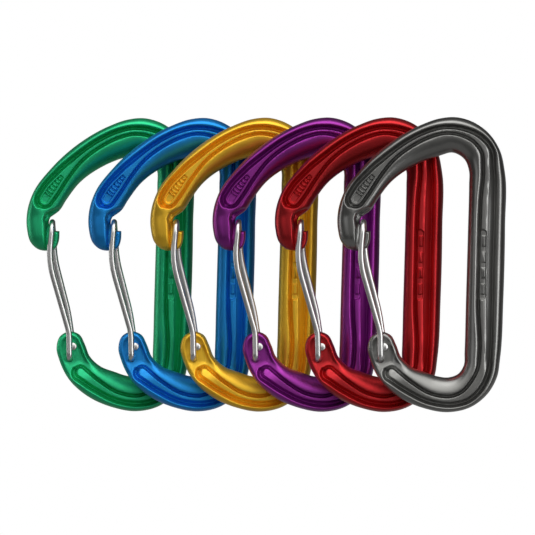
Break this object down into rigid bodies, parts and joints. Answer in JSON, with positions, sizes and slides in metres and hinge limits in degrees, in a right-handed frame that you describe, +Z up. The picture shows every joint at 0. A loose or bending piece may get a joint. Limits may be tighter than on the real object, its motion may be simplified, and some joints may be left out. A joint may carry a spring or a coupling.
{
  "type": "wire-gate carabiner set",
  "caption": "Colour-coded set of wire-gate climbing carabiners with forged I-beam frames and sprung wire gates, hanging side by side.",
  "frame": {"origin": "on the line of the loop that the set hangs from, under the inner crowns of the top bows, midway between the third and fourth carabiner", "axes": "+X along the set to the right, +Y from the front carabiner towards the rear one, +Z up; each frame is flat in X and Z with its spine on the +X side"},
  "size_m": [0.1628, 0.063, 0.0999],
  "materials": {
    "anodised_green": "satin anodised",
    "anodised_blue": "satin anodised",
    "anodised_gold": "satin anodised",
    "anodised_purple": "satin anodised",
    "anodised_red": "satin anodised",
    "anodised_grey": "satin anodised",
    "gate_wire": "polished stainless spring wire"
  },
  "bodies": {
    "rack": {"frame_green": "anodised_green", "frame_blue": "anodised_blue", "frame_gold": "anodised_gold", "frame_purple": "anodised_purple", "frame_red": "anodised_red", "frame_grey": "anodised_grey"},
    "gate_green": {"gate_front_leg_green": "gate_wire"},
    "gate_rear_green": {"gate_rear_leg_green": "gate_wire"},
    "gate_blue": {"gate_front_leg_blue": "gate_wire"},
    "gate_rear_blue": {"gate_rear_leg_blue": "gate_wire"},
    "gate_gold": {"gate_front_leg_gold": "gate_wire"},
    "gate_rear_gold": {"gate_rear_leg_gold": "gate_wire"},
    "gate_purple": {"gate_front_leg_purple": "gate_wire"},
    "gate_rear_purple": {"gate_rear_leg_purple": "gate_wire"},
    "gate_red": {"gate_front_leg_red": "gate_wire"},
    "gate_rear_red": {"gate_rear_leg_red": "gate_wire"},
    "gate_grey": {"gate_front_leg_grey": "gate_wire"},
    "gate_rear_grey": {"gate_rear_leg_grey": "gate_wire"}
  },
  "joints": [
    {"name": "open_green", "type": "hinge", "parent": "rack", "child": "gate_green", "pos_m": [-0.0763, 0.0265, -0.06986], "axis": [0, 1, 0], "range_deg": [0, 30], "stiffness_Nm_per_rad": 0.5, "springref_deg": -14.9},
    {"name": "flex_green", "type": "slide", "parent": "gate_green", "child": "gate_rear_green", "axis": [-0.9983, 0, 0.0589], "range_m": [0, 0.0023]},
    {"name": "open_blue", "type": "hinge", "parent": "rack", "child": "gate_blue", "pos_m": [-0.05516, 0.0159, -0.06986], "axis": [0, 1, 0], "range_deg": [0, 30], "stiffness_Nm_per_rad": 0.5, "springref_deg": -14.9},
    {"name": "flex_blue", "type": "slide", "parent": "gate_blue", "child": "gate_rear_blue", "axis": [-0.9983, 0, 0.0589], "range_m": [0, 0.0023]},
    {"name": "open_gold", "type": "hinge", "parent": "rack", "child": "gate_gold", "pos_m": [-0.03401, 0.0053, -0.06986], "axis": [0, 1, 0], "range_deg": [0, 30], "stiffness_Nm_per_rad": 0.5, "springref_deg": -14.9},
    {"name": "flex_gold", "type": "slide", "parent": "gate_gold", "child": "gate_rear_gold", "axis": [-0.9983, 0, 0.0589], "range_m": [0, 0.0023]},
    {"name": "open_purple", "type": "hinge", "parent": "rack", "child": "gate_purple", "pos_m": [-0.01286, -0.0053, -0.06986], "axis": [0, 1, 0], "range_deg": [0, 30], "stiffness_Nm_per_rad": 0.5, "springref_deg": -14.9},
    {"name": "flex_purple", "type": "slide", "parent": "gate_purple", "child": "gate_rear_purple", "axis": [-0.9983, 0, 0.0589], "range_m": [0, 0.0023]},
    {"name": "open_red", "type": "hinge", "parent": "rack", "child": "gate_red", "pos_m": [0.0083, -0.0159, -0.06986], "axis": [0, 1, 0], "range_deg": [0, 30], "stiffness_Nm_per_rad": 0.5, "springref_deg": -14.9},
    {"name": "flex_red", "type": "slide", "parent": "gate_red", "child": "gate_rear_red", "axis": [-0.9983, 0, 0.0589], "range_m": [0, 0.0023]},
    {"name": "open_grey", "type": "hinge", "parent": "rack", "child": "gate_grey", "pos_m": [0.02944, -0.0265, -0.06986], "axis": [0, 1, 0], "range_deg": [0, 30], "stiffness_Nm_per_rad": 0.5, "springref_deg": -14.9},
    {"name": "flex_grey", "type": "slide", "parent": "gate_grey", "child": "gate_rear_grey", "axis": [-0.9983, 0, 0.0589], "range_m": [0, 0.0023]}
  ],
  "couplings": [
    {"joint": "flex_green", "follows": "open_green", "m_per_rad": 0.004225},
    {"joint": "flex_blue", "follows": "open_blue", "m_per_rad": 0.004225},
    {"joint": "flex_gold", "follows": "open_gold", "m_per_rad": 0.004225},
    {"joint": "flex_purple", "follows": "open_purple", "m_per_rad": 0.004225},
    {"joint": "flex_red", "follows": "open_red", "m_per_rad": 0.004225},
    {"joint": "flex_grey", "follows": "open_grey", "m_per_rad": 0.004225}
  ]
}
